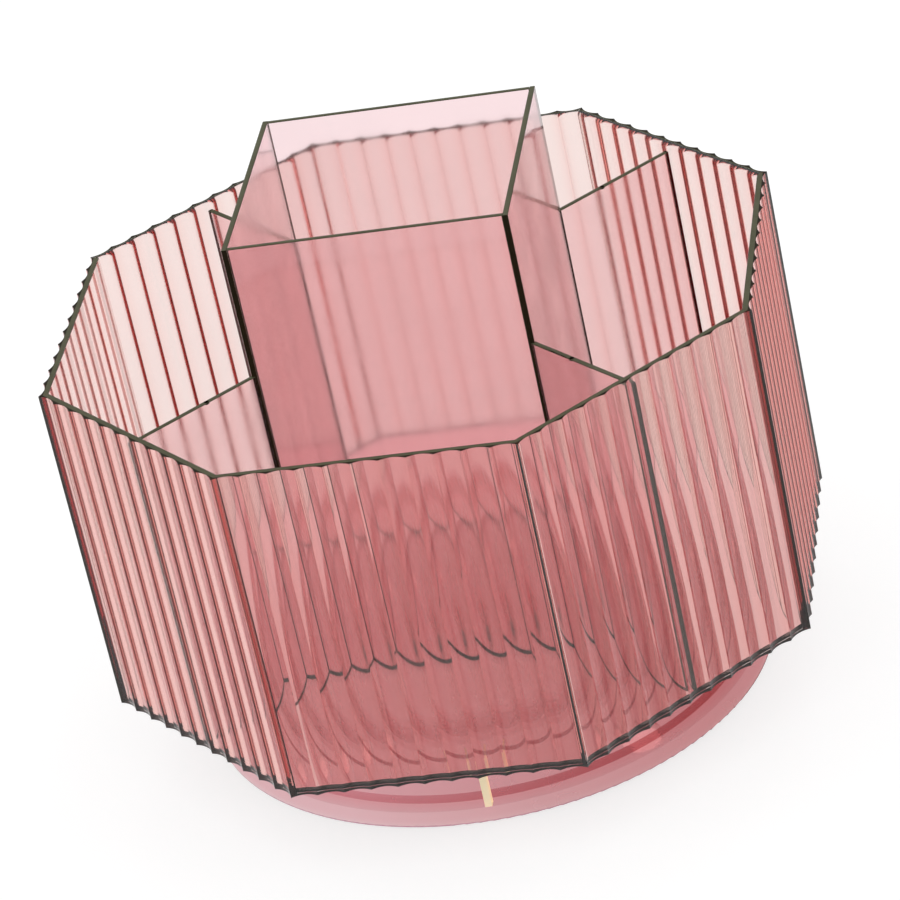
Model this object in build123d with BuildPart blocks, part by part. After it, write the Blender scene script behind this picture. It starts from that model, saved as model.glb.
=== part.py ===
from build123d import *
from math import radians, sqrt, tan
import os

# A turning pen holder: an eight-sided bin with a square tower, on a ball ring and a round base.
# Millimetres. +Z is up, the turning axis is Z, the front is towards -Y, the desk is at Z = 0.

# Fluted walls
across_flats = 149.4  # from ridge to ridge
wall_height = 76.1
wall_web = 1.3  # what is left of the sheet at the bottom of a flute
flute_depth = 0.8
flute_count = 11  # scooped side by side in each panel, with a sharp ridge between two
wall_count = 8

# Floor of the holder, set inside the walls
floor_thickness = 1.2

# Square tower, standing on the floor
tower_width = 59.4
tower_height = 102.3
tower_sheet = 1.2

# Dividers, standing on the floor between tower corners and walls
divider_height = 72.8
divider_sheet = 1.2
mark_radius = 0.5  # round mark drilled in the top edge
mark_depth = 0.4
mark_distance = 11.8  # from the tower's corner, along the divider

# Ball ring that carries the holder
ball_diameter = 2.5
ball_count = 24
ball_clearance = 0.1  # between a ball and each groove
race_setback = 4.5  # from the drum's edge
race_width = 6.0
race_thickness = 1.3
groove_depth = 0.65
cage_width = 5.2
cage_clearance = 0.3  # above and below the cage
pocket_clearance = 0.1  # round each ball

# Round base
drum_radius = 60.0
drum_height = 13.0
drum_wall = 1.8
drum_deck = 2.0
drum_edge_radius = 0.8
base_plate_overhang = 2.3  # outside the drum
base_plate_thickness = 2.4
base_plate_edge_radius = 0.6
locating_ring_height = 2.0
locating_ring_width = 1.6
locating_ring_clearance = 0.1

# Rubber feet, sunk in the base plate
foot_count = 4
foot_radius = 4.5
foot_thickness = 1.6
foot_recess = 0.8
foot_fit = 0.1  # radial, in the recess
foot_setback = 7.8  # from the base plate's edge
foot_edge_radius = 0.4

# Pivot that keeps the holder on its base
stud_radius = 6.0
stud_flange_radius = 14.0
stud_flange_thickness = 1.5
pivot_clearance = 0.05  # radial, stud in hub
pivot_end_play = 0.3
hub_wall = 3.0
washer_radius = 8.5
washer_thickness = 1.0
washer_fit = 0.1  # radial, on the screw
screw_radius = 1.5
screw_length = 8.0
screw_fit = 0.05  # radial, in the stud
screw_head_radius = 3.2
screw_head_height = 2.0
screw_head_edge_radius = 0.7
screw_slot_width = 0.9
screw_slot_length = 3.6
screw_slot_depth = 1.0
screw_room = 3.0  # below the screw's head

# Levels, from the desk up
base_plate_bottom = foot_thickness - foot_recess
base_plate_top = base_plate_bottom + base_plate_thickness
drum_top = base_plate_top + drum_height
deck_underside = drum_top - drum_deck
race_space = ball_diameter + 2 * ball_clearance - 2 * groove_depth
lower_race_top = drum_top + race_thickness
upper_race_bottom = lower_race_top + race_space
ball_level = (lower_race_top + upper_race_bottom) / 2
holder_bottom = upper_race_bottom + race_thickness
floor_top = holder_bottom + floor_thickness
divider_top = floor_top + divider_height
screw_head_bottom = base_plate_top + screw_room
screw_head_top = screw_head_bottom + screw_head_height
stud_end = screw_head_top + washer_thickness
hub_bottom = stud_end + pivot_end_play

# Sizes in plan
half_corner = radians(180 / wall_count)
ridge_apothem = across_flats / 2
flute_apothem = ridge_apothem - flute_depth
wall_inside = flute_apothem - wall_web
ridge_half_width = ridge_apothem * tan(half_corner)
inside_half_width = wall_inside * tan(half_corner)
flute_pitch = 2 * ridge_half_width / flute_count
tower_corner = tower_width / sqrt(2)
base_plate_radius = drum_radius + base_plate_overhang
foot_circle_radius = base_plate_radius - foot_setback - foot_radius
race_circle_radius = drum_radius - race_setback - race_width / 2
ball_radius = ball_diameter / 2
groove_radius = ball_radius + ball_clearance
hub_bore = stud_radius + pivot_clearance


def facing(angle, level):
    """A level plane whose own Y points outwards at this angle from +X."""
    return Plane.XY.offset(level).rotated((0, 0, angle - 90))


os.makedirs("parts", exist_ok=True)

# Fluted wall panels, mitred where they meet
wall_sides = ("right", "back_right", "back", "back_left", "left", "front_left", "front", "front_right")
for number, side in enumerate(wall_sides):
    with BuildPart() as wall_panel:
        with BuildSketch(facing(number * 360 / wall_count, holder_bottom)):
            with BuildLine():
                Polyline(
                    (-ridge_half_width, ridge_apothem),
                    (-inside_half_width, wall_inside),
                    (inside_half_width, wall_inside),
                    (ridge_half_width, ridge_apothem),
                )
                for flute in range(flute_count):
                    start = flute * flute_pitch - ridge_half_width
                    ThreePointArc(
                        (start, ridge_apothem),
                        (start + flute_pitch / 2, flute_apothem),
                        (start + flute_pitch, ridge_apothem),
                    )
            make_face()
        extrude(amount=wall_height)
    wall_panel.part.label = f"wall_{side}"
    export_step(wall_panel.part, f"parts/wall_{side}.step")

# Octagonal floor plate
with BuildPart() as floor_plate:
    with BuildSketch(Plane.XY.offset(holder_bottom)):
        RegularPolygon(wall_inside, wall_count, major_radius=False, rotation=180 / wall_count)
    extrude(amount=floor_thickness)
floor_plate.part.label = "floor_plate"
export_step(floor_plate.part, "parts/floor_plate.step")

# Tower panels: the left and right ones lap over the ends of the front and back ones
between_sides = tower_width - 2 * tower_sheet
tower_sides = (("right", 0, tower_width), ("back", 90, between_sides))
tower_sides += (("left", 180, tower_width), ("front", 270, between_sides))
for side, angle, width in tower_sides:
    with BuildPart() as tower_panel:
        with BuildSketch(facing(angle, floor_top)):
            with Locations((0, (tower_width - tower_sheet) / 2)):
                Rectangle(width, tower_sheet)
        extrude(amount=tower_height)
    tower_panel.part.label = f"tower_{side}"
    export_step(tower_panel.part, f"parts/tower_{side}.step")

# Dividers, each notched at its inner end to sit on the tower's corner
divider_half = divider_sheet / 2
mark_reach = tower_corner + mark_distance
for side, angle in (("back_right", 45), ("back_left", 135), ("front_left", 225), ("front_right", 315)):
    with BuildPart() as divider:
        with BuildSketch(facing(angle, floor_top)):
            with BuildLine():
                Polyline(
                    (0, tower_corner),
                    (divider_half, tower_corner - divider_half),
                    (divider_half, wall_inside),
                    (-divider_half, wall_inside),
                    (-divider_half, tower_corner - divider_half),
                    close=True,
                )
            make_face()
        extrude(amount=divider_height)
        with BuildSketch(facing(angle, divider_top)):
            with Locations((0, mark_reach)):
                Circle(mark_radius)
        extrude(amount=-mark_depth, mode=Mode.SUBTRACT)
    divider.part.label = f"divider_{side}"
    export_step(divider.part, f"parts/divider_{side}.step")

# Bearing races, one under the floor and one on the drum
for place, bottom in (("upper", upper_race_bottom), ("lower", drum_top)):
    with BuildPart() as race:
        with BuildSketch(Plane.XZ):
            with Locations((race_circle_radius, bottom + race_thickness / 2)):
                Rectangle(race_width, race_thickness)
            with Locations((race_circle_radius, ball_level)):
                Circle(groove_radius, mode=Mode.SUBTRACT)
        revolve(axis=Axis.Z)
    race.part.label = f"{place}_race"
    export_step(race.part, f"parts/{place}_race.step")

# Ball cage
cage_thickness = race_space - 2 * cage_clearance
with BuildPart() as ball_cage:
    with BuildSketch(Plane.XY.offset(ball_level - cage_thickness / 2)):
        Circle(race_circle_radius + cage_width / 2)
        Circle(race_circle_radius - cage_width / 2, mode=Mode.SUBTRACT)
        with PolarLocations(race_circle_radius, ball_count):
            Circle(ball_radius + pocket_clearance, mode=Mode.SUBTRACT)
    extrude(amount=cage_thickness)
ball_cage.part.label = "ball_cage"
export_step(ball_cage.part, "parts/ball_cage.step")

# Balls
with BuildPart() as bearing_balls:
    with Locations((0, 0, ball_level)):
        with PolarLocations(race_circle_radius, ball_count):
            Sphere(ball_radius)
bearing_balls.part.label = "bearing_balls"
export_step(bearing_balls.part, "parts/bearing_balls.step")

# Drum, a shallow cup upside down with a hub for the pivot stud
drum_inside = drum_radius - drum_wall
hub_radius = hub_bore + hub_wall
with BuildPart() as drum:
    with BuildSketch(Plane.XZ):
        with BuildLine():
            Polyline(
                (hub_bore, hub_bottom),
                (hub_bore, drum_top),
                (drum_radius, drum_top),
                (drum_radius, base_plate_top),
                (drum_inside, base_plate_top),
                (drum_inside, deck_underside),
                (hub_radius, deck_underside),
                (hub_radius, hub_bottom),
                close=True,
            )
        make_face()
    revolve(axis=Axis.Z)
    deck_rim = drum.edges().filter_by(GeomType.CIRCLE).group_by(Axis.Z)[-1].sort_by(SortBy.RADIUS)[-1]
    fillet(deck_rim, drum_edge_radius)
drum.part.label = "drum"
export_step(drum.part, "parts/drum.step")

# Base plate, with a locating ring inside the drum and a recess for each foot
ring_outside = drum_inside - locating_ring_clearance
with BuildPart() as base_plate:
    with BuildSketch(Plane.XY.offset(base_plate_bottom)):
        Circle(base_plate_radius)
    extrude(amount=base_plate_thickness)
    fillet(base_plate.edges().filter_by(GeomType.CIRCLE), base_plate_edge_radius)
    with BuildSketch(Plane.XY.offset(base_plate_top)):
        Circle(ring_outside)
        Circle(ring_outside - locating_ring_width, mode=Mode.SUBTRACT)
    extrude(amount=locating_ring_height)
    with BuildSketch(Plane.XY.offset(base_plate_bottom)):
        with PolarLocations(foot_circle_radius, foot_count, start_angle=180 / foot_count):
            Circle(foot_radius + foot_fit)
    extrude(amount=foot_recess, mode=Mode.SUBTRACT)
base_plate.part.label = "base_plate"
export_step(base_plate.part, "parts/base_plate.step")

# Rubber feet
foot_places = PolarLocations(foot_circle_radius, foot_count, start_angle=180 / foot_count)
foot_sides = ("back_right", "back_left", "front_left", "front_right")
for side, place in zip(foot_sides, foot_places.local_locations):
    with BuildPart() as foot:
        with BuildSketch():
            with Locations(place):
                Circle(foot_radius)
        extrude(amount=foot_thickness)
        fillet(foot.edges().group_by(Axis.Z)[0], foot_edge_radius)
    foot.part.label = f"foot_{side}"
    export_step(foot.part, f"parts/foot_{side}.step")

# Pivot stud, its flange under the floor and its shaft through the drum's hub
with BuildPart() as pivot_stud:
    with BuildSketch(Plane.XY.offset(holder_bottom)):
        Circle(stud_flange_radius)
    extrude(amount=-stud_flange_thickness)
    with BuildSketch(Plane.XY.offset(stud_end)):
        Circle(stud_radius)
    extrude(amount=holder_bottom - stud_end)
    with BuildSketch(Plane.XY.offset(stud_end)):
        Circle(screw_radius + screw_fit)
    extrude(amount=screw_length, mode=Mode.SUBTRACT)
pivot_stud.part.label = "pivot_stud"
export_step(pivot_stud.part, "parts/pivot_stud.step")

# Retaining washer
with BuildPart() as retaining_washer:
    with BuildSketch(Plane.XY.offset(screw_head_top)):
        Circle(washer_radius)
        Circle(screw_radius + washer_fit, mode=Mode.SUBTRACT)
    extrude(amount=washer_thickness)
retaining_washer.part.label = "retaining_washer"
export_step(retaining_washer.part, "parts/retaining_washer.step")

# Retaining screw, driven up into the stud
with BuildPart() as retaining_screw:
    with BuildSketch(Plane.XY.offset(screw_head_bottom)):
        Circle(screw_head_radius)
    extrude(amount=screw_head_height)
    fillet(retaining_screw.edges().group_by(Axis.Z)[0], screw_head_edge_radius)
    with BuildSketch(Plane.XY.offset(screw_head_top)):
        Circle(screw_radius)
    extrude(amount=screw_length)
    with BuildSketch(Plane.XY.offset(screw_head_bottom)):
        Rectangle(screw_slot_length, screw_slot_width)
        Rectangle(screw_slot_width, screw_slot_length)
    extrude(amount=screw_slot_depth, mode=Mode.SUBTRACT)
retaining_screw.part.label = "retaining_screw"
export_step(retaining_screw.part, "parts/retaining_screw.step")
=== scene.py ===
"""Looks for a turning pen holder in clear pink plastic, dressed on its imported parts.

Run as a script. Each group of pieces is one operator, and lengths are in metres.
"""

import math

import bmesh
import bpy
from bpy.props import FloatProperty, FloatVectorProperty, IntProperty, PointerProperty
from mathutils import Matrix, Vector


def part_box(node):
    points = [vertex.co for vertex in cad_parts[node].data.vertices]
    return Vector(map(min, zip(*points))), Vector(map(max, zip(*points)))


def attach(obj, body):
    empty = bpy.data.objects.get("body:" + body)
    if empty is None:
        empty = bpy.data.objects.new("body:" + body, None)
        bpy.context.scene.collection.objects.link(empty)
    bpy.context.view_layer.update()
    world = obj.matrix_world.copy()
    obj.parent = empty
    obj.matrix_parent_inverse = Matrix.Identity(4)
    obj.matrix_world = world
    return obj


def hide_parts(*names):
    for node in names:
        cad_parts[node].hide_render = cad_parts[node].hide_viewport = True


bl_info = {
    "name": "Rotating pen holder",
    "version": (1, 0, 0),
    "blender": (4, 5, 0),
    "location": "View3D > Sidebar > Pen holder",
    "description": "Builds the clear sheets, base, ball ring and studio of a turning pen holder",
    "category": "Object",
}

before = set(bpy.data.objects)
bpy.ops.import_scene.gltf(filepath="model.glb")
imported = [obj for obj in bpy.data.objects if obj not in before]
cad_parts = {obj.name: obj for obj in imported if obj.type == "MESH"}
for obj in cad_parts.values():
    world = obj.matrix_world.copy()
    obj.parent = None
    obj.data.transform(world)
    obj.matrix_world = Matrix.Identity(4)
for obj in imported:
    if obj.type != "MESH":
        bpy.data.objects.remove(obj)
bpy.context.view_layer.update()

MM = 0.001
WALL_SIDES = ("right", "back_right", "back", "back_left", "left", "front_left", "front", "front_right")
WALL_COUNT = len(WALL_SIDES)
WALL_ANGLES = {side: math.radians(360 * place / WALL_COUNT) for place, side in enumerate(WALL_SIDES)}
HALF_CORNER = math.radians(180 / WALL_COUNT)
TOWER_SIDES = ("right", "back", "left", "front")
DIAGONAL_SIDES = ("back_right", "back_left", "front_left", "front_right")
FAR_SIDES = ("back_right", "back", "back_left")
RIGHTWARD = Vector((1.0, 0.0, 0.0))
BACKWARD = Vector((0.0, 1.0, 0.0))
DOWNWARD = Vector((0.0, 0.0, -1.0))
CEMENTED_CORNERS = (("left", "front_left"), ("front_right", "right"), ("right", "back_right"))

# Lengths that tell the parts of a piece from one another
WELD = 0.001 * MM  # points nearer than this are one point
AIR_GAP = 0.015 * MM  # between pieces that touch
MARK_DEPTH = 1.0 * MM  # the drilled marks lie this near a divider's top
MARK_SIZE = 1.2 * MM  # and no face of theirs is larger
EDGE_REACH = 1.0 * MM  # a moulded edge's rounding lies this near its piece's outline
FOOT_REACH = 10.0 * MM  # cut edges this near the walls' foot keep the dark colour, a painted shade
TIP_DEPTH = 0.9 * MM  # and so do the tips of the ridges, seen from above
SEAM_DROP = 1.5 * MM  # the drum's seam ends this far below its top
SEAM_FRONT = 0.9  # and lies further forward than this share of the drum's radius

# Directions and angles that do the same, as shares of a normal and in radians
NEARLY_ONE = 0.9999  # of a face that lies flat
SAME_WAY = 0.9  # of a cut side that faces a given way
LEVEL = 0.8  # of a rim or a foot
SLANTED = (0.1, 0.95)  # of a moulded edge's rounding
END_LEAN = 0.02  # of a mitred end, where it should be none
END_SHARE = 0.95  # how far out a mitred end lies, of its panel's reach
FLAT_ANGLE = math.radians(0.5)  # between triangles of one flat face
CORNER_ANGLE = math.radians(40)  # at an edge of a sheet
FLUTED_BREAK = math.radians(25)  # where a wall's smooth shading stops
TURNED_BREAK = math.radians(30)  # where a turned piece's does
SHEET_BREAK = math.radians(50)  # where a plain sheet's does

# Steps of the roundings and balls
RIM_STEPS = 6
EDGE_STEPS = 2
ROUND = 0.5  # the bevel profile of an arc
BALL_SEGMENTS = 24
BALL_RINGS = 16

# The material slots of a plain sheet
SHEET, CUT, MARK, CEMENT = range(4)

# Fine detail of the finishes
SHEET_INDEX = 1.49  # how strongly clear acrylic bends light
SOFT_INDEX = 1.1  # for the rubber, the cage and the dull cut edges
HAZE_SCALE = (90.0, 90.0, 90.0)
HAZE_SHADE = 0.975  # of the skin where the haze is thickest
STREAK_HEIGHT = 0.02 * MM
CUTTER_SCALE = (1800.0, 1800.0, 320.0)
CUTTER_HEIGHT = 0.03 * MM
PATCH_SCALE = (150.0, 150.0, 60.0)
GRAIN_SCALE = (1600.0, 1600.0, 1600.0)
# In each of the next three pairs, the first colour is for faces that stand upright and the second,
# paler one is painted where a face looks up, a painted top light
MARK_COLOURS = ((0.012, 0.01, 0.006), (0.03, 0.02, 0.012))
NEAR_CEMENT = ((0.03, 0.032, 0.011), (0.045, 0.045, 0.025))
FAR_CEMENT = ((0.13, 0.012, 0.012), (0.16, 0.03, 0.03))
STEEL = ((0.75, 0.75, 0.76), (0.85, 0.85, 0.86))
GLASS_WHITE = (0.97, 0.98, 0.99)
PLAIN_GLOSS = (0.9, 0.7, 0.72)  # of what the plain sheets mirror
MILKY = (0.95, 0.88, 0.86)  # the washer's nylon and the feet's rubber
MILKY_DENSITY = 60.0

# The stage
FLOOR_HALF = 6.0
LIGHT_BOUNCES = 32  # enough to pass through all the sheets
SENSOR_WIDTH = 36.0  # millimetres, as Blender's cameras have it

# Between two nodes in the editor
NODE_STEP = 190

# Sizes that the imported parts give
WALL_LOW, WALL_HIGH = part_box("wall_front")
RIDGE_APOTHEM = -WALL_LOW.y
INSIDE_APOTHEM = -WALL_HIGH.y
BALL_LOW, BALL_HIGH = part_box("bearing_balls")
BALL_RADIUS = (BALL_HIGH.z - BALL_LOW.z) / 2
BALL_CIRCLE = BALL_HIGH.x - BALL_RADIUS
DRUM_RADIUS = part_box("drum")[1].x
DRUM_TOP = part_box("drum")[1].z


class Graph:
    """Adds nodes to one tree and links them as they come."""

    def __init__(self, tree):
        self.tree = tree

    def add(self, kind, inputs=None, **settings):
        """A new node, with its settings, then its inputs: a socket is linked, a value is set."""
        node = self.tree.nodes.new(kind)
        node.location = (len(self.tree.nodes) * NODE_STEP, 0)
        for name, value in settings.items():
            setattr(node, name, value)
        for key, value in (inputs or {}).items():
            if isinstance(value, bpy.types.NodeSocket):
                self.tree.links.new(value, node.inputs[key])
            else:
                node.inputs[key].default_value = value
        return node

    def math(self, operation, *values):
        """The result of one Math node."""
        return self.add("ShaderNodeMath", dict(enumerate(values)), operation=operation).outputs[0]


# Materials


def new_material(name):
    """An empty material and the graph of its nodes."""
    material = bpy.data.materials.new(name)
    material.use_nodes = True
    material.node_tree.nodes.clear()
    return material, Graph(material.node_tree)


def node_of(material, kind):
    """A material's first node of a kind."""
    return next(node for node in material.node_tree.nodes if node.type == kind)


def object_place(graph):
    """The three object coordinates, in metres."""
    spot = graph.add("ShaderNodeTexCoord").outputs["Object"]
    return graph.add("ShaderNodeSeparateXYZ", {"Vector": spot}).outputs


def object_noise(graph, scale, detail=3.0):
    """Noise on object coordinates, finer along an axis where its scale is larger."""
    spot = graph.add("ShaderNodeTexCoord").outputs["Object"]
    fitted = graph.add("ShaderNodeMapping", {"Vector": spot, "Scale": scale}).outputs["Vector"]
    noise = graph.add("ShaderNodeTexNoise", {"Vector": fitted, "Scale": 1.0, "Detail": detail})
    return noise.outputs["Fac"]


def spread(graph, noise, low, high):
    """Noise, which lies mostly between 0.3 and 0.7, spread between two limits."""
    ranges = {"Value": noise, "From Min": 0.3, "From Max": 0.7, "To Min": low, "To Max": high}
    return graph.add("ShaderNodeMapRange", ranges).outputs["Result"]


def limited(graph, value):
    """A value kept between 0 and 1."""
    return graph.add("ShaderNodeClamp", {"Value": value}).outputs["Result"]


def blend_colour(graph, share, first, second):
    """A colour between two. A Mix node's colours are its inputs 6 and 7 and its output 2."""
    inputs = {0: share, 6: (*first, 1.0), 7: (*second, 1.0)}
    return graph.add("ShaderNodeMix", inputs, data_type="RGBA").outputs[2]


def bump(graph, height, depth, strength):
    """A normal from a height between 0 and 1 and its depth in metres."""
    node = graph.add("ShaderNodeBump", {"Height": height, "Distance": depth, "Strength": strength})
    return node.outputs["Normal"]


def finish_material(graph, principled, absorption=None):
    """Joins the shaders to the material's output."""
    out = graph.add("ShaderNodeOutputMaterial", {"Surface": principled.outputs["BSDF"]})
    if absorption:
        graph.tree.links.new(absorption.outputs["Volume"], out.inputs["Volume"])


def clear_plastic(name, tint, density, skin, ior, streak, rough, gloss=(1.0, 1.0, 1.0)):
    """Clear tinted plastic, with drawn or moulded streaks that barely bend what shows through."""
    material, graph = new_material(name)
    waves = object_noise(graph, streak)
    haze = object_noise(graph, HAZE_SCALE)
    hazy_skin = tuple(part * HAZE_SHADE for part in skin)
    principled = graph.add(
        "ShaderNodeBsdfPrincipled",
        {
            "Base Color": blend_colour(graph, haze, skin, hazy_skin),
            "Specular Tint": (*gloss, 1.0),
            "Roughness": spread(graph, haze, rough * 0.5, rough),
            "Normal": bump(graph, waves, STREAK_HEIGHT, 0.5),
            "IOR": ior,
            "Transmission Weight": 1.0,
        },
    )
    absorption = graph.add("ShaderNodeVolumeAbsorption", {"Color": (*tint, 1.0), "Density": density})
    finish_material(graph, principled, absorption)
    return material


def add_glowing_seam(material, base):
    """Fills the drum's glued seam, an upright strip at its front, with cream cement that also glows a
    little, painted light that stands for a highlight.
    """
    graph = Graph(material.node_tree)
    m = graph.math
    drum = node_of(material, "BSDF_PRINCIPLED")
    place = object_place(graph)
    aside = m("ABSOLUTE", m("SUBTRACT", place["X"], base.seam_place))
    strip = m("LESS_THAN", aside, base.seam_width / 2)
    strip = m("MULTIPLY", strip, m("LESS_THAN", place["Y"], -DRUM_RADIUS * SEAM_FRONT))
    strip = m("MULTIPLY", strip, m("LESS_THAN", place["Z"], DRUM_TOP - SEAM_DROP))
    cement = graph.add(
        "ShaderNodeBsdfPrincipled",
        {
            "Base Color": (*base.seam_and_glow_colour, 1.0),
            "Roughness": 0.4,
            # Painted light: the cement glows, though it is no lamp, to look as bright as a highlight
            "Emission Color": (*base.seam_and_glow_colour, 1.0),
            "Emission Strength": 0.35,
        },
    )
    both = graph.add("ShaderNodeMixShader", {0: strip, 1: drum.outputs[0], 2: cement.outputs[0]})
    graph.tree.links.new(both.outputs[0], node_of(material, "OUTPUT_MATERIAL").inputs["Surface"])


def shade_to_one_side(material, base):
    """Paints shade on the base plate: its skin darkens towards +X, as if it were lit from the other
    side.
    """
    graph = Graph(material.node_tree)
    start, end = base.shading_span
    aside = graph.math("SUBTRACT", object_place(graph)["X"], start)
    share = limited(graph, graph.math("DIVIDE", aside, end - start))
    tint = blend_colour(graph, share, base.plate_skin, base.shaded_plate_skin)
    graph.tree.links.new(tint, node_of(material, "BSDF_PRINCIPLED").inputs["Base Color"])


def cut_edge(name, colours, rough):
    """A cut and polished edge, the sheet's tint seen end on, in a dark and a pale colour.

    It has painted light: the pale colour goes where it faces up, as light from above, and the dark
    colour stays as painted shade at the walls' foot and the tips of their ridges.
    """
    material, graph = new_material(name)
    m = graph.math
    marks = object_noise(graph, CUTTER_SCALE, detail=4.0)
    patches = object_noise(graph, PATCH_SCALE)
    normal = graph.add("ShaderNodeNewGeometry").outputs["Normal"]
    upward = graph.add("ShaderNodeSeparateXYZ", {"Vector": normal}).outputs["Z"]
    place = object_place(graph)
    aside = m("ABSOLUTE", place["X"])
    ahead = m("ABSOLUTE", place["Y"])
    slanting = m("MULTIPLY", m("ADD", aside, ahead), math.sqrt(0.5))
    reach = m("MAXIMUM", m("MAXIMUM", aside, ahead), slanting)
    # Painted top light: faces that look up take the paler colour
    share = m("MULTIPLY", upward, spread(graph, patches, 0.75, 1.0))
    # Painted shade: the walls' foot and the tips of their ridges keep the dark colour
    share = m("MULTIPLY", share, m("GREATER_THAN", place["Z"], WALL_LOW.z + FOOT_REACH))
    share = m("MULTIPLY", share, m("LESS_THAN", reach, RIDGE_APOTHEM - TIP_DEPTH))
    principled = graph.add(
        "ShaderNodeBsdfPrincipled",
        {
            "Base Color": blend_colour(graph, limited(graph, share), *colours),
            "Roughness": spread(graph, marks, rough * 0.7, rough * 1.3),
            "Normal": bump(graph, marks, CUTTER_HEIGHT, 0.4),
            "IOR": SOFT_INDEX,
        },
    )
    finish_material(graph, principled)
    return material


def plain_finish(name, colours, rough, grain_height, metallic=0.0, transmission=0.0):
    """An opaque or clear finish with a fine, even grain between two colours."""
    material, graph = new_material(name)
    grains = object_noise(graph, GRAIN_SCALE)
    principled = graph.add(
        "ShaderNodeBsdfPrincipled",
        {
            "Base Color": blend_colour(graph, spread(graph, grains, 0.0, 1.0), *colours),
            "Roughness": spread(graph, grains, rough * 0.75, rough * 1.25),
            "Normal": bump(graph, grains, grain_height, 0.5),
            "Metallic": metallic,
            "Transmission Weight": transmission,
        },
    )
    finish_material(graph, principled)
    return material


def looked_at(graph):
    """One for a ray from the camera, straight, mirrored or through clear plastic, else zero."""
    path = graph.add("ShaderNodeLightPath").outputs
    seen = graph.math("MAXIMUM", path["Is Camera Ray"], path["Is Glossy Ray"])
    return graph.math("MAXIMUM", seen, path["Is Transmission Ray"])


# Meshes


def facing(side):
    """The level direction that a side of the holder faces."""
    angle = WALL_ANGLES[side]
    return Vector((math.cos(angle), math.sin(angle), 0.0))


def put_in_scene(name, mesh):
    """A new object at the origin."""
    piece = bpy.data.objects.new(name, mesh)
    bpy.context.scene.collection.objects.link(piece)
    return piece


def grown(name, group, values):
    """The mesh that a node group makes with these inputs, as a plain object."""
    piece = put_in_scene(name, bpy.data.meshes.new(name))
    modifier = piece.modifiers.new("Shape", "NODES")
    modifier.node_group = group
    sockets = {s.name: s.identifier for s in group.interface.items_tree if s.in_out == "INPUT"}
    for label, value in values.items():
        modifier[sockets[label]] = value
    depsgraph = bpy.context.evaluated_depsgraph_get()
    mesh = bpy.data.meshes.new_from_object(piece.evaluated_get(depsgraph))
    piece.modifiers.clear()
    piece.data = mesh
    mesh.name = name
    if not mesh.polygons:
        raise RuntimeError(f"{name} came out empty")
    return piece


def group_with(name, inputs):
    """A new geometry node group with these inputs, the graph of its nodes and what it is given."""
    tree = bpy.data.node_groups.new(name, "GeometryNodeTree")
    tree.interface.new_socket("Geometry", in_out="OUTPUT", socket_type="NodeSocketGeometry")
    for label, kind in inputs:
        tree.interface.new_socket(label, in_out="INPUT", socket_type=f"NodeSocket{kind}")
    graph = Graph(tree)
    given = graph.add("NodeGroupInput").outputs
    return tree, graph, given


def end_group(graph, geometry, finishes):
    """Ends a group with real geometry, in its materials and the faces that each goes on."""
    clad = graph.add("GeometryNodeRealizeInstances", {"Geometry": geometry}).outputs["Geometry"]
    for material, chosen in finishes:
        inputs = {"Geometry": clad, "Selection": chosen, "Material": material}
        clad = graph.add("GeometryNodeSetMaterial", inputs).outputs["Geometry"]
    graph.add("NodeGroupOutput", {"Geometry": clad})


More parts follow.
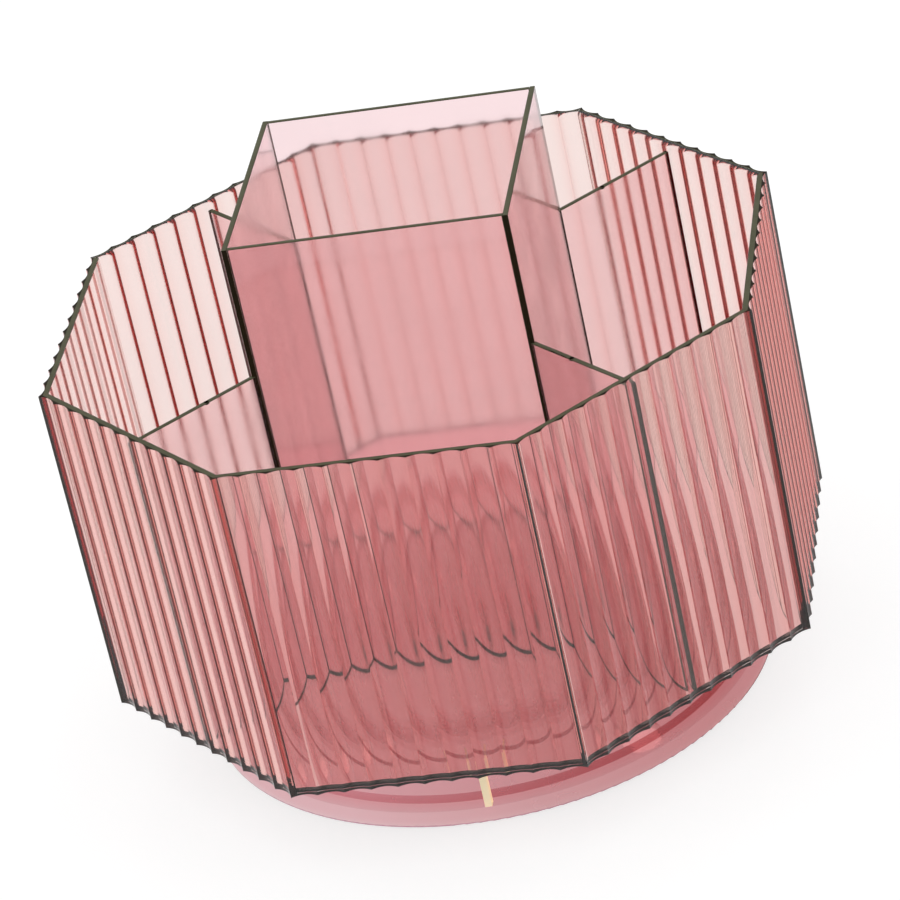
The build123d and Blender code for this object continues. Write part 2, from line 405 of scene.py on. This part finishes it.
def panel_outline(graph, given):
    """The place of each point of a wall panel's outline, and how many points there are.

    The points go flute by flute, and then round the two mitres.
    """
    m = graph.math
    slope = m("TANGENT", given["Half Corner"])
    half_width = m("SUBTRACT", m("MULTIPLY", given["Ridge Apothem"], slope), given["Mitre Gap"])
    inside_half = m("SUBTRACT", m("MULTIPLY", given["Inside Apothem"], slope), given["Mitre Gap"])
    pitch = m("DIVIDE", m("MULTIPLY", half_width, 2.0), given["Flutes"])
    half_chord = m("MULTIPLY", m("SUBTRACT", pitch, given["Ridge Width"]), 0.5)
    squares = m("ADD", m("POWER", half_chord, 2.0), m("POWER", given["Flute Depth"], 2.0))
    radius = m("DIVIDE", squares, m("MULTIPLY", given["Flute Depth"], 2.0))
    widest = m("ARCSINE", m("DIVIDE", half_chord, radius))

    # Which flute a point lies on, and where along its arc
    per_flute = m("ADD", given["Segments"], 1.0)
    flute_points = m("MULTIPLY", given["Flutes"], per_flute)
    index = graph.add("GeometryNodeInputIndex").outputs["Index"]
    flute = m("FLOOR", m("DIVIDE", m("ADD", index, 0.5), per_flute))
    step = m("SUBTRACT", index, m("MULTIPLY", flute, per_flute))
    turn = m("SUBTRACT", m("DIVIDE", m("MULTIPLY", step, 2.0), given["Segments"]), 1.0)
    angle = m("MULTIPLY", widest, turn)
    middle = m("SUBTRACT", m("MULTIPLY", m("ADD", flute, 0.5), pitch), half_width)
    flute_x = m("ADD", middle, m("MULTIPLY", radius, m("SINE", angle)))
    centre = m("ADD", given["Ridge Apothem"], m("SUBTRACT", radius, given["Flute Depth"]))
    flute_y = m("SUBTRACT", centre, m("MULTIPLY", radius, m("COSINE", angle)))

    # The mitres' four corners: outer, inner, inner, outer, from the right end to the left
    corner = m("SUBTRACT", index, flute_points)
    inner = m("LESS_THAN", m("ABSOLUTE", m("SUBTRACT", corner, 1.5)), 1.0)
    side = m("SUBTRACT", m("MULTIPLY", m("LESS_THAN", corner, 1.5), 2.0), 1.0)
    gap = m("SUBTRACT", half_width, inside_half)
    corner_x = m("MULTIPLY", side, m("SUBTRACT", half_width, m("MULTIPLY", inner, gap)))
    sheet = m("SUBTRACT", given["Ridge Apothem"], given["Inside Apothem"])
    corner_y = m("SUBTRACT", given["Ridge Apothem"], m("MULTIPLY", inner, sheet))

    on_flute = m("LESS_THAN", index, flute_points)
    flat = m("SUBTRACT", 1.0, on_flute)
    x = m("ADD", m("MULTIPLY", on_flute, flute_x), m("MULTIPLY", flat, corner_x))
    y = m("ADD", m("MULTIPLY", on_flute, flute_y), m("MULTIPLY", flat, corner_y))
    point = graph.add("ShaderNodeCombineXYZ", {"X": x, "Y": y}).outputs[0]
    return point, m("ADD", flute_points, 4.0)


def fluted_panel_group():
    """A wall panel: hollow flutes outside with a ridge between two, flat inside, mitred ends."""
    tree, graph, given = group_with(
        "Fluted panel",
        (
            ("Flutes", "Int"),
            ("Segments", "Int"),
            ("Flute Depth", "Float"),
            ("Ridge Width", "Float"),
            ("Ridge Apothem", "Float"),
            ("Inside Apothem", "Float"),
            ("Mitre Gap", "Float"),
            ("Half Corner", "Float"),
            ("Bottom", "Float"),
            ("Height", "Float"),
            ("Facing", "Float"),
            ("Sheet", "Material"),
            ("Cut Edge", "Material"),
        ),
    )
    m = graph.math
    point, count = panel_outline(graph, given)
    line = graph.add("GeometryNodeMeshLine", {"Count": count})
    placed = graph.add(
        "GeometryNodeSetPosition", {"Geometry": line.outputs["Mesh"], "Position": point}
    )
    outline = graph.add("GeometryNodeMeshToCurve", {"Mesh": placed.outputs["Geometry"]})
    closed = graph.add(
        "GeometryNodeSetSplineCyclic", {"Geometry": outline.outputs["Curve"], "Cyclic": True}
    )
    section = graph.add(
        "GeometryNodeFillCurve", {"Curve": closed.outputs["Geometry"]}, mode="NGONS"
    )
    up = graph.add("ShaderNodeCombineXYZ", {"Z": given["Height"]})
    raised = graph.add(
        "GeometryNodeExtrudeMesh",
        {"Mesh": section.outputs["Mesh"], "Offset": up.outputs[0], "Individual": False},
    )
    under = graph.add("GeometryNodeFlipFaces", {"Mesh": section.outputs["Mesh"]})
    both = graph.add("GeometryNodeJoinGeometry", {"Geometry": raised.outputs["Mesh"]})
    tree.links.new(under.outputs["Mesh"], both.inputs["Geometry"])
    whole = graph.add(
        "GeometryNodeMergeByDistance", {"Geometry": both.outputs["Geometry"], "Distance": WELD}
    )

    # The rim and the foot are cut faces
    normal = graph.add("GeometryNodeInputNormal").outputs["Normal"]
    upward = graph.add("ShaderNodeSeparateXYZ", {"Vector": normal}).outputs["Z"]
    is_cut = m("GREATER_THAN", m("ABSOLUTE", upward), LEVEL)
    capture = graph.add("GeometryNodeCaptureAttribute", domain="FACE")
    capture.capture_items.new("FLOAT", "Chosen")
    tree.links.new(whole.outputs["Geometry"], capture.inputs["Geometry"])
    tree.links.new(is_cut, capture.inputs["Chosen"])
    quarter = m("SUBTRACT", given["Facing"], math.pi / 2)
    turned = graph.add(
        "GeometryNodeTransform",
        {
            "Geometry": capture.outputs["Geometry"],
            "Translation": graph.add("ShaderNodeCombineXYZ", {"Z": given["Bottom"]}).outputs[0],
            "Rotation": graph.add("ShaderNodeCombineXYZ", {"Z": quarter}).outputs[0],
        },
    )
    smooth = graph.add("GeometryNodeSetShadeSmooth", {"Geometry": turned.outputs["Geometry"]})
    finishes = ((given["Sheet"], True), (given["Cut Edge"], capture.outputs["Chosen"]))
    end_group(graph, smooth.outputs["Geometry"], finishes)
    return tree


def ball_ring_group():
    """Balls spaced evenly on a circle."""
    tree, graph, given = group_with(
        "Ball ring",
        (
            ("Count", "Int"),
            ("Circle Radius", "Float"),
            ("Ball Radius", "Float"),
            ("Level", "Float"),
            ("Material", "Material"),
        ),
    )
    circle = graph.add(
        "GeometryNodeMeshCircle", {"Vertices": given["Count"], "Radius": given["Circle Radius"]}
    )
    ball = graph.add(
        "GeometryNodeMeshUVSphere",
        {"Segments": BALL_SEGMENTS, "Rings": BALL_RINGS, "Radius": given["Ball Radius"]},
    )
    smooth = graph.add("GeometryNodeSetShadeSmooth", {"Geometry": ball.outputs["Mesh"]})
    balls = graph.add(
        "GeometryNodeInstanceOnPoints",
        {"Points": circle.outputs["Mesh"], "Instance": smooth.outputs["Geometry"]},
    )
    lift = graph.add("ShaderNodeCombineXYZ", {"Z": given["Level"]}).outputs[0]
    lifted = graph.add(
        "GeometryNodeTransform", {"Geometry": balls.outputs["Instances"], "Translation": lift}
    )
    end_group(graph, lifted.outputs["Geometry"], ((given["Material"], True),))
    return tree


def ease_rim(mesh, radius):
    """Rounds a wall panel over on the inside of its rim, and keeps its inside flat."""
    shape = bmesh.new()
    shape.from_mesh(mesh)
    top = max(vertex.co.z for vertex in shape.verts)
    rim = [edge for edge in shape.edges if all(v.co.z > top - WELD for v in edge.verts)]
    inner = max(rim, key=lambda edge: edge.calc_length())
    inside = max(inner.link_faces, key=lambda face: face.calc_area())
    bmesh.ops.bevel(
        shape,
        geom=[inner],
        offset=radius,
        segments=RIM_STEPS,
        profile=ROUND,
        affect="EDGES",
        material=inside.material_index,
    )
    inside = max(shape.faces, key=lambda face: face.calc_area())
    shade(shape, [inside], FLUTED_BREAK)
    shape.to_mesh(mesh)
    shape.free()


def mitred_faces(shape, outward, reach):
    """The faces of the mitred end that a wall panel has at one corner."""
    beside = [f for f in shape.faces if abs(f.normal.dot(outward)) + abs(f.normal.z) < END_LEAN]
    return [f for f in beside if f.calc_center_median().dot(outward) > reach * END_SHARE]


def cement_corner(mesh, outward, depth):
    """Darkens the outer strip of a wall panel's mitred end at one corner."""
    shape = bmesh.new()
    shape.from_mesh(mesh)
    shape.normal_update()
    reach = max(vertex.co.dot(outward) for vertex in shape.verts)
    cut = next(face.material_index for face in shape.faces if face.normal.z < -LEVEL)
    ends = mitred_faces(shape, outward, reach)
    parts = {part for face in ends for part in (*face.verts, *face.edges, face)}
    limit = reach - depth
    bmesh.ops.bisect_plane(shape, geom=list(parts), plane_co=outward * limit, plane_no=outward)
    for face in mitred_faces(shape, outward, reach):
        if face.calc_center_median().dot(outward) > limit:
            face.material_index = cut
    shape.to_mesh(mesh)
    shape.free()


def shade(shape, flat_faces, angle):
    """Smooth shading that leaves these faces flat and breaks at sharper edges than the angle."""
    flat = set(flat_faces)
    for face in shape.faces:
        face.smooth = True
    for edge in shape.edges:
        beside_flat = any(face in flat for face in edge.link_faces)
        edge.smooth = not beside_flat and edge.calc_face_angle(math.pi) < angle


def packed_shape(node):
    """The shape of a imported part, its loose triangles joined."""
    shape = bmesh.new()
    shape.from_mesh(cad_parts[node].data)
    bmesh.ops.remove_doubles(shape, verts=shape.verts, dist=WELD)
    return shape


def draw_in(shape):
    """Draws a shape's skin in a hair, so that light finds air between pieces that touch."""
    shape.normal_update()
    for vertex in shape.verts:
        vertex.co -= vertex.normal * AIR_GAP


def clear_piece(node, shape, materials):
    """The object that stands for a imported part, made from a shape and its materials."""
    draw_in(shape)
    mesh = bpy.data.meshes.new(f"clear_{node}")
    shape.to_mesh(mesh)
    shape.free()
    for material in materials:
        mesh.materials.append(material)
    return put_in_scene(f"clear_{node}", mesh)


def turned_copy(node, materials, edge_way=0.0):
    """A turned piece, smooth round its axis and flat where it is level.

    The rounding at its outline has a material of its own: the upper one for an edge way of 1,
    the lower one for -1, and none for 0.
    """
    shape = packed_shape(node)
    level = [face for face in shape.faces if abs(face.normal.z) > NEARLY_ONE]
    shade(shape, level, TURNED_BREAK)
    least, most = SLANTED
    limit = max(vertex.co.x for vertex in shape.verts) - EDGE_REACH
    for face in shape.faces:
        outer = face.calc_center_median().xy.length > limit
        slanted = least < face.normal.z * edge_way < most
        face.material_index = int(outer and slanted)
    return clear_piece(node, shape, materials)


def cement_strip(shape, outward, width):
    """Marks off a strip along one side of a sheet; returns how far out the strip begins."""
    limit = max(vertex.co.dot(outward) for vertex in shape.verts) - width
    whole = [*shape.verts, *shape.edges, *shape.faces]
    bmesh.ops.bisect_plane(shape, geom=whole, plane_co=outward * limit, plane_no=outward)
    return limit


def sheet_copy(node, radius, materials, cement, clear_sides):
    """A sheet, its long edges rounded over and its cut faces, cement and mark set apart."""
    shape = packed_shape(node)
    bmesh.ops.dissolve_limit(shape, angle_limit=FLAT_ANGLE, verts=shape.verts, edges=shape.edges)
    corners = [edge for edge in shape.edges if edge.calc_face_angle(0) > CORNER_ANGLE]
    long_corners = [edge for edge in corners if edge.calc_length() > MARK_SIZE]
    bmesh.ops.bevel(
        shape, geom=long_corners, offset=radius, segments=EDGE_STEPS, profile=ROUND, affect="EDGES"
    )
    broad = max(shape.faces, key=lambda face: face.calc_area()).normal.copy()
    strips = [(outward, cement_strip(shape, outward, width)) for outward, width in cement]
    top = max(vertex.co.z for vertex in shape.verts)
    lying = {face for face in shape.faces if abs(face.normal.dot(broad)) > NEARLY_ONE}
    shade(shape, lying, SHEET_BREAK)
    for face in shape.faces:
        middle = face.calc_center_median()
        face.material_index = SHEET if face in lying else CUT
        if any(face.normal.dot(way) > SAME_WAY for way in clear_sides):
            face.material_index = SHEET
        if any(middle.dot(outward) > limit for outward, limit in strips):
            face.material_index = CEMENT
        if face not in lying and middle.z > top - MARK_DEPTH:
            small = max(edge.calc_length() for edge in face.edges) < MARK_SIZE
            if small and face.calc_area() < MARK_SIZE**2:
                face.material_index = MARK
    return clear_piece(node, shape, materials)


def dress(node, material):
    """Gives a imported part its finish."""
    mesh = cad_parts[node].data
    mesh.materials.clear()
    mesh.materials.append(material)


# Settings


class SheetSettings(bpy.types.PropertyGroup):
    """Sizes of the fluted walls and plain sheets, and their colours."""

    flute_count: IntProperty(
        name="Flutes", description="Flutes scooped in each wall panel", default=11, min=1
    )
    flute_segments: IntProperty(
        name="Flute Segments", description="Flat steps across each flute", default=14, min=4
    )
    flute_depth: FloatProperty(
        name="Flute Depth", description="From ridge to hollow", default=0.8 * MM, unit="LENGTH"
    )
    ridge_width: FloatProperty(
        name="Ridge Width",
        description="Width of the ridge left between two flutes",
        default=0.1 * MM,
        unit="LENGTH",
    )
    corner_depth: FloatProperty(
        name="Corner Depth",
        description="How far in from a ridge the cement of a corner shows",
        default=0.75 * MM,
        unit="LENGTH",
    )
    rim_radius: FloatProperty(
        name="Rim Radius",
        description="Rounding inside the rim of the three far walls",
        default=0.9 * MM,
        unit="LENGTH",
    )
    edge_radius: FloatProperty(
        name="Edge Radius",
        description="Rounding on the plain sheets' edges and inside the other walls' rims",
        default=0.12 * MM,
        unit="LENGTH",
    )
    cement_width: FloatProperty(
        name="Cement Width",
        description="Cement where the near dividers meet the walls, twice that of the far ones",
        default=0.8 * MM,
        unit="LENGTH",
    )
    foot_width: FloatProperty(
        name="Foot Cement Width",
        description="Height of the cement at the tower's front foot, twice that of other feet",
        default=0.7 * MM,
        unit="LENGTH",
    )
    tint: FloatVectorProperty(
        name="Fluted Tint",
        description="What the fluted walls let through",
        subtype="COLOR",
        size=3,
        default=(0.955, 0.53, 0.49),
    )
    density: FloatProperty(
        name="Sheet Depth of Tint", description="How fast light is tinted, per metre", default=300.0
    )
    skin: FloatVectorProperty(
        name="Fluted Skin",
        description="What each face of a fluted wall lets through",
        subtype="COLOR",
        size=3,
        default=(0.925, 0.94, 0.915),
    )
    plain_skin: FloatVectorProperty(
        name="Plain Skin",
        description="What each face of a plain sheet lets through",
        subtype="COLOR",
        size=3,
        default=(0.97, 0.985, 0.98),
    )
    floor_skin: FloatVectorProperty(
        name="Floor Skin",
        description="What each face of the floor plate lets through",
        subtype="COLOR",
        size=3,
        default=(0.935, 0.88, 0.885),
    )
    plain_tint: FloatVectorProperty(
        name="Plain Tint",
        description="What the tower and dividers let through",
        subtype="COLOR",
        size=3,
        default=(0.90, 0.26, 0.34),
    )
    floor_tint: FloatVectorProperty(
        name="Floor Plate Tint",
        description="What the floor plate lets through",
        subtype="COLOR",
        size=3,
        default=(0.90, 0.10, 0.10),
    )
    # The edges' own dark colour, also used as painted shade at the walls' foot and ridge tips
    edge_dark_and_shaded: FloatVectorProperty(
        name="Edge Dark",
        description="Cut edges that stand upright, the walls' foot and their ridge tips",
        subtype="COLOR",
        size=3,
        default=(0.022, 0.016, 0.008),
    )
    # Painted top light: the paler colour of cut edges where they face up
    edge_lit_from_above: FloatVectorProperty(
        name="Edge Pale",
        description="Cut edges that face up",
        subtype="COLOR",
        size=3,
        default=(0.125, 0.125, 0.075),
    )


class BaseSettings(bpy.types.PropertyGroup):
    """Colours and counts of the base and its ball ring."""

    tint: FloatVectorProperty(
        name="Base Tint",
        description="What the moulded base lets through",
        subtype="COLOR",
        size=3,
        default=(0.95, 0.60, 0.62),
    )
    density: FloatProperty(
        name="Base Depth of Tint", description="How fast light is tinted, per metre", default=100.0
    )
    skin: FloatVectorProperty(
        name="Base Skin",
        description="What each face of the moulded base lets through",
        subtype="COLOR",
        size=3,
        default=(0.965, 0.89, 0.9),
    )
    plate_skin: FloatVectorProperty(
        name="Base Plate Skin",
        description="What each face of the base plate lets through",
        subtype="COLOR",
        size=3,
        default=(0.855, 0.635, 0.665),
    )
    # Painted shade: the base plate's skin at its shaded side
    shaded_plate_skin: FloatVectorProperty(
        name="Deep Base Plate Skin",
        description="What each face of the base plate lets through where its tint is deepest",
        subtype="COLOR",
        size=3,
        default=(0.675, 0.355, 0.365),
    )
    # Where the base plate's painted shade begins and where it is full
    shading_span: FloatVectorProperty(
        name="Deepening",
        description="From where to where across the base plate its tint deepens",
        subtype="XYZ",
        unit="LENGTH",
        size=2,
        default=(-0.025, 0.05),
    )
    edge_skin: FloatVectorProperty(
        name="Moulded Edge",
        description="What the rounded outer edges let through",
        subtype="COLOR",
        size=3,
        default=(0.45, 0.22, 0.32),
    )
    ior: FloatProperty(
        name="Base Index", description="How strongly the moulded base bends light", default=1.05
    )
    seam_place: FloatProperty(
        name="Seam Place",
        description="How far right of the middle the drum's seam is",
        default=5.65 * MM,
        unit="LENGTH",
    )
    seam_width: FloatProperty(
        name="Seam Width", description="Width of the seam's cement", default=1.5 * MM, unit="LENGTH"
    )
    # The seam cement's colour, and also the colour of its painted glow
    seam_and_glow_colour: FloatVectorProperty(
        name="Seam Colour",
        description="Cream cement in the drum's seam",
        subtype="COLOR",
        size=3,
        default=(0.95, 0.82, 0.55),
    )
    ball_count: IntProperty(name="Balls", description="Balls in the ring", default=24, min=3)
    ball_colour: FloatVectorProperty(
        name="Ball Colour",
        description="Clear glass balls",
        subtype="COLOR",
        size=3,
        default=(0.93, 0.96, 0.98),
    )


class StageSettings(bpy.types.PropertyGroup):
    """Floor, light and camera."""

    floor_colour: FloatVectorProperty(
        name="Floor Colour",
        description="Pale paper under the holder",
        subtype="COLOR",
        size=3,
        default=(0.40, 0.40, 0.40),
    )
    floor_glow: FloatProperty(
        name="Floor Glow", description="Lifts the paper to white where nothing shades it", default=0.75
    )
    sky_strength: FloatProperty(
        name="Room Light", description="Light from the white room on the holder", default=0.8
    )
    lens: FloatProperty(
        name="Lens", description="Focal length", default=184.18, unit="CAMERA"
    )
    camera_place: FloatVectorProperty(
        name="Camera Place",
        description="Where the camera stands",
        subtype="TRANSLATION",
        size=3,
        default=(0.186946, -0.844141, 0.524790),
    )
    camera_turn: FloatVectorProperty(
        name="Camera Turn",
        description="How the camera is turned",
        subtype="EULER",
        size=3,
        default=(1.0627719, 0.1940529, 0.1097746),
    )


# Operators


class PENHOLDER_OT_walls(bpy.types.Operator):
    """Build the eight fluted wall panels"""

    bl_idname = "pen_holder.walls"
    bl_label = "Fluted walls"

    def execute(self, context):
        sheet = context.scene.pen_holder_sheets
        clear = clear_plastic(
            "fluted_sheet",
            sheet.tint,
            sheet.density,
            sheet.skin,
            ior=SHEET_INDEX,
            streak=(260.0, 260.0, 6.0),
            rough=0.06,
        )
        values = {
            "Flutes": sheet.flute_count,
            "Segments": sheet.flute_segments,
            "Flute Depth": sheet.flute_depth,
            "Ridge Width": sheet.ridge_width,
            "Ridge Apothem": RIDGE_APOTHEM,
            "Inside Apothem": INSIDE_APOTHEM,
            "Mitre Gap": AIR_GAP,
            "Half Corner": HALF_CORNER,
            "Bottom": WALL_LOW.z,
            "Height": WALL_HIGH.z - WALL_LOW.z,
            "Sheet": clear,
            "Cut Edge": cut_edge("wall_cut_edge", (sheet.edge_dark_and_shaded, sheet.edge_lit_from_above), rough=0.3),
        }
        group = fluted_panel_group()
        for side, angle in WALL_ANGLES.items():
            panel = grown(f"fluted_wall_{side}", group, {**values, "Facing": angle})
            ease_rim(panel.data, sheet.rim_radius if side in FAR_SIDES else sheet.edge_radius)
            for corner in CEMENTED_CORNERS:
                if side in corner:
                    outward = sum((facing(end) for end in corner), Vector()).normalized()
                    cement_corner(panel.data, outward, sheet.corner_depth)
            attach(panel, "holder")
            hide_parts(f"wall_{side}")
        return {"FINISHED"}


class PENHOLDER_OT_sheets(bpy.types.Operator):
    """Build the floor, the tower's panels and the dividers"""

    bl_idname = "pen_holder.sheets"
    bl_label = "Plain sheets"

    def execute(self, context):
        sheet = context.scene.pen_holder_sheets
        clear = self.plain(
            "plain_sheet", sheet, sheet.plain_tint, sheet.plain_skin, rough=0.1, gloss=PLAIN_GLOSS
        )
        deep = self.plain("floor_sheet", sheet, sheet.floor_tint, sheet.floor_skin, rough=0.03)
        edge = cut_edge("sheet_cut_edge", (sheet.edge_dark_and_shaded, sheet.edge_lit_from_above), rough=0.25)
        mark = cut_edge("drilled_mark", MARK_COLOURS, rough=0.5)
        cement_near = cut_edge("cement_near", NEAR_CEMENT, rough=0.4)
        cement_far = cut_edge("cement_far", FAR_CEMENT, rough=0.4)
        nodes = ["floor_plate"]
        nodes += [f"tower_{side}" for side in TOWER_SIDES]
        nodes += [f"divider_{side}" for side in DIAGONAL_SIDES]
        for node in nodes:
            broad = deep if node == "floor_plate" else clear
            cement, clear_sides = self.joints(node, sheet)
            materials = (broad, edge, mark, cement_far if "back" in node else cement_near)
            piece = sheet_copy(node, sheet.edge_radius, materials, cement, clear_sides)
            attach(piece, "holder")
            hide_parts(node)
        return {"FINISHED"}

    def plain(self, name, sheet, tint, skin, **finish):
        """A plain sheet's clear plastic."""
        return clear_plastic(
            name, tint, sheet.density, skin, ior=SHEET_INDEX, streak=(30.0, 30.0, 30.0), **finish
        )

    def joints(self, node, sheet):
        """Where a sheet has cement on it, and which of its cut sides are clear."""
        kind, side = node.split("_", 1)
        if kind == "floor":
            return (), ()
        outward = facing(side)
        if kind == "divider":
            if side in FAR_SIDES:
                return ((outward, sheet.cement_width / 2),), (-outward,)
            return ((outward, sheet.cement_width), (DOWNWARD, sheet.foot_width / 2)), ()
        if side == "back":
            return (), (RIGHTWARD, -RIGHTWARD)
        if side == "front":
            return ((DOWNWARD, sheet.foot_width),), ()
        return ((DOWNWARD, sheet.foot_width / 2),), (BACKWARD,)


class PENHOLDER_OT_base(bpy.types.Operator):
    """Finish the drum, base plate, races and pivot stud"""

    bl_idname = "pen_holder.base"
    bl_label = "Base"

    def execute(self, context):
        base = context.scene.pen_holder_base
        moulded = self.plastic("moulded_base", base, base.skin)
        plate = self.plastic("moulded_plate", base, base.plate_skin)
        # Painted shade: the plate darkens towards one side
        shade_to_one_side(plate, base)
        edge = self.plastic("moulded_edge", base, base.edge_skin)
        seamed = self.plastic("seamed_drum", base, base.skin)
        add_glowing_seam(seamed, base)
        self.turned("drum", "base", (seamed, edge), 1.0)
        self.turned("base_plate", "base", (plate, edge), -1.0)
        self.turned("lower_race", "base", (moulded,))
        for node in ("upper_race", "pivot_stud"):
            self.turned(node, "holder", (moulded,))
        return {"FINISHED"}

    def plastic(self, name, base, skin):
        """The base's moulded plastic, with a skin of its own."""
        return clear_plastic(
            name, base.tint, base.density, skin, ior=base.ior, streak=(40.0, 40.0, 40.0), rough=0.3
        )

    def turned(self, node, body, materials, edge_way=0.0):
        """One turned piece, in the place of its node."""
        piece = turned_copy(node, materials, edge_way)
        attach(piece, body)
        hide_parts(node)


class PENHOLDER_OT_ball_ring(bpy.types.Operator):
    """Build the balls and finish their cage"""

    bl_idname = "pen_holder.ball_ring"
    bl_label = "Ball ring"

    def execute(self, context):
        base = context.scene.pen_holder_base
        glass = plain_finish(
            "ball_glass",
            (base.ball_colour, GLASS_WHITE),
            rough=0.03,
            grain_height=0.001 * MM,
            transmission=1.0,
        )
        values = {
            "Count": base.ball_count,
            "Circle Radius": BALL_CIRCLE,
            "Ball Radius": BALL_RADIUS,
            "Level": (BALL_LOW.z + BALL_HIGH.z) / 2,
            "Material": glass,
        }
        balls = grown("glass_balls", ball_ring_group(), values)
        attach(balls, "ball_ring")
        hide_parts("bearing_balls")
        cage = clear_plastic(
            "cage_plastic",
            base.tint,
            base.density,
            base.skin,
            ior=SOFT_INDEX,
            streak=(60.0, 60.0, 60.0),
            rough=0.1,
        )
        dress("ball_cage", cage)
        return {"FINISHED"}


class PENHOLDER_OT_fixings(bpy.types.Operator):
    """Finish the washer, the screw and the feet"""

    bl_idname = "pen_holder.fixings"
    bl_label = "Fixings and feet"

    def execute(self, context):
        milky = (MILKY, MILKY_DENSITY, MILKY)
        nylon = clear_plastic(
            "washer_nylon", *milky, ior=1.05, streak=(80.0, 80.0, 80.0), rough=0.4
        )
        rubber = clear_plastic(
            "foot_rubber", *milky, ior=SOFT_INDEX, streak=(300.0, 300.0, 300.0), rough=0.6
        )
        steel = plain_finish(
            "screw_steel", STEEL, rough=0.3, grain_height=0.004 * MM, metallic=1.0
        )
        dress("retaining_washer", nylon)
        dress("retaining_screw", steel)
        for side in DIAGONAL_SIDES:
            dress(f"foot_{side}", rubber)
        return {"FINISHED"}


class PENHOLDER_OT_stage(bpy.types.Operator):
    """Set the floor, the light and the camera"""

    bl_idname = "pen_holder.stage"
    bl_label = "Stage"

    def execute(self, context):
        stage = context.scene.pen_holder_stage
        self.floor(stage)
        self.room(context.scene, stage)
        self.camera(context.scene, stage)
        return {"FINISHED"}

    def floor(self, stage):
        """A wide sheet of pale paper that keeps the holder's shadow."""
        shape = bmesh.new()
        bmesh.ops.create_grid(shape, x_segments=1, y_segments=1, size=FLOOR_HALF)
        mesh = bpy.data.meshes.new("paper_floor")
        shape.to_mesh(mesh)
        shape.free()
        material, graph = new_material("pale_paper")
        paper = graph.add("ShaderNodeBsdfDiffuse", {"Color": (*stage.floor_colour, 1.0)})
        strength = graph.math("MULTIPLY", looked_at(graph), stage.floor_glow)
        glow = graph.add("ShaderNodeEmission", {"Strength": strength})
        both = graph.add("ShaderNodeAddShader", {0: paper.outputs[0], 1: glow.outputs[0]})
        graph.add("ShaderNodeOutputMaterial", {"Surface": both.outputs[0]})
        mesh.materials.append(material)
        put_in_scene("paper_floor", mesh)

    def room(self, scene, stage):
        """A white room: white where it is looked at, a little softer where it lights."""
        world = bpy.data.worlds.new("white_room")
        world.use_nodes = True
        world.node_tree.nodes.clear()
        graph = Graph(world.node_tree)
        paint = {"Color": (1.0, 1.0, 1.0, 1.0)}
        light = graph.add("ShaderNodeBackground", {**paint, "Strength": stage.sky_strength})
        white = graph.add("ShaderNodeBackground", {**paint, "Strength": 1.0})
        shaders = {0: looked_at(graph), 1: light.outputs[0], 2: white.outputs[0]}
        mix = graph.add("ShaderNodeMixShader", shaders)
        graph.add("ShaderNodeOutputWorld", {"Surface": mix.outputs[0]})
        scene.world = world
        scene.view_settings.view_transform = "Standard"
        scene.cycles.max_bounces = LIGHT_BOUNCES
        scene.cycles.transmission_bounces = LIGHT_BOUNCES
        scene.cycles.transparent_max_bounces = LIGHT_BOUNCES

    def camera(self, scene, stage):
        """The camera, where the photograph was taken from and rolled as it was."""
        data = bpy.data.cameras.new("view_camera")
        data.lens = stage.lens
        data.sensor_width = SENSOR_WIDTH
        camera = bpy.data.objects.new("view_camera", data)
        camera.location = stage.camera_place
        camera.rotation_euler = stage.camera_turn
        scene.collection.objects.link(camera)
        scene.camera = camera


class PENHOLDER_PT_panel(bpy.types.Panel):
    """Settings and steps of the pen holder"""

    bl_label = "Pen holder"
    bl_idname = "PENHOLDER_PT_panel"
    bl_space_type = "VIEW_3D"
    bl_region_type = "UI"
    bl_category = "Pen holder"

    def draw(self, context):
        for group in (
            context.scene.pen_holder_sheets,
            context.scene.pen_holder_base,
            context.scene.pen_holder_stage,
        ):
            box = self.layout.box()
            for name in group.bl_rna.properties.keys():
                if name not in ("rna_type", "name"):
                    box.prop(group, name)
        for step in STEPS:
            self.layout.operator(step.bl_idname)


SETTINGS = {
    "pen_holder_sheets": SheetSettings,
    "pen_holder_base": BaseSettings,
    "pen_holder_stage": StageSettings,
}
STEPS = (
    PENHOLDER_OT_walls,
    PENHOLDER_OT_sheets,
    PENHOLDER_OT_base,
    PENHOLDER_OT_ball_ring,
    PENHOLDER_OT_fixings,
    PENHOLDER_OT_stage,
)


def register():
    """Registers the settings, the steps and the panel."""
    for group in (*SETTINGS.values(), *STEPS, PENHOLDER_PT_panel):
        bpy.utils.register_class(group)
    for name, group in SETTINGS.items():
        setattr(bpy.types.Scene, name, PointerProperty(type=group))


def unregister():
    """Takes them out again."""
    for name in SETTINGS:
        delattr(bpy.types.Scene, name)
    for group in reversed((*SETTINGS.values(), *STEPS, PENHOLDER_PT_panel)):
        bpy.utils.unregister_class(group)


def main():
    """Builds the whole scene."""
    register()
    bpy.ops.pen_holder.walls()
    bpy.ops.pen_holder.sheets()
    bpy.ops.pen_holder.base()
    bpy.ops.pen_holder.ball_ring()
    bpy.ops.pen_holder.fixings()
    bpy.ops.pen_holder.stage()


if __name__ == "__main__":
    main()
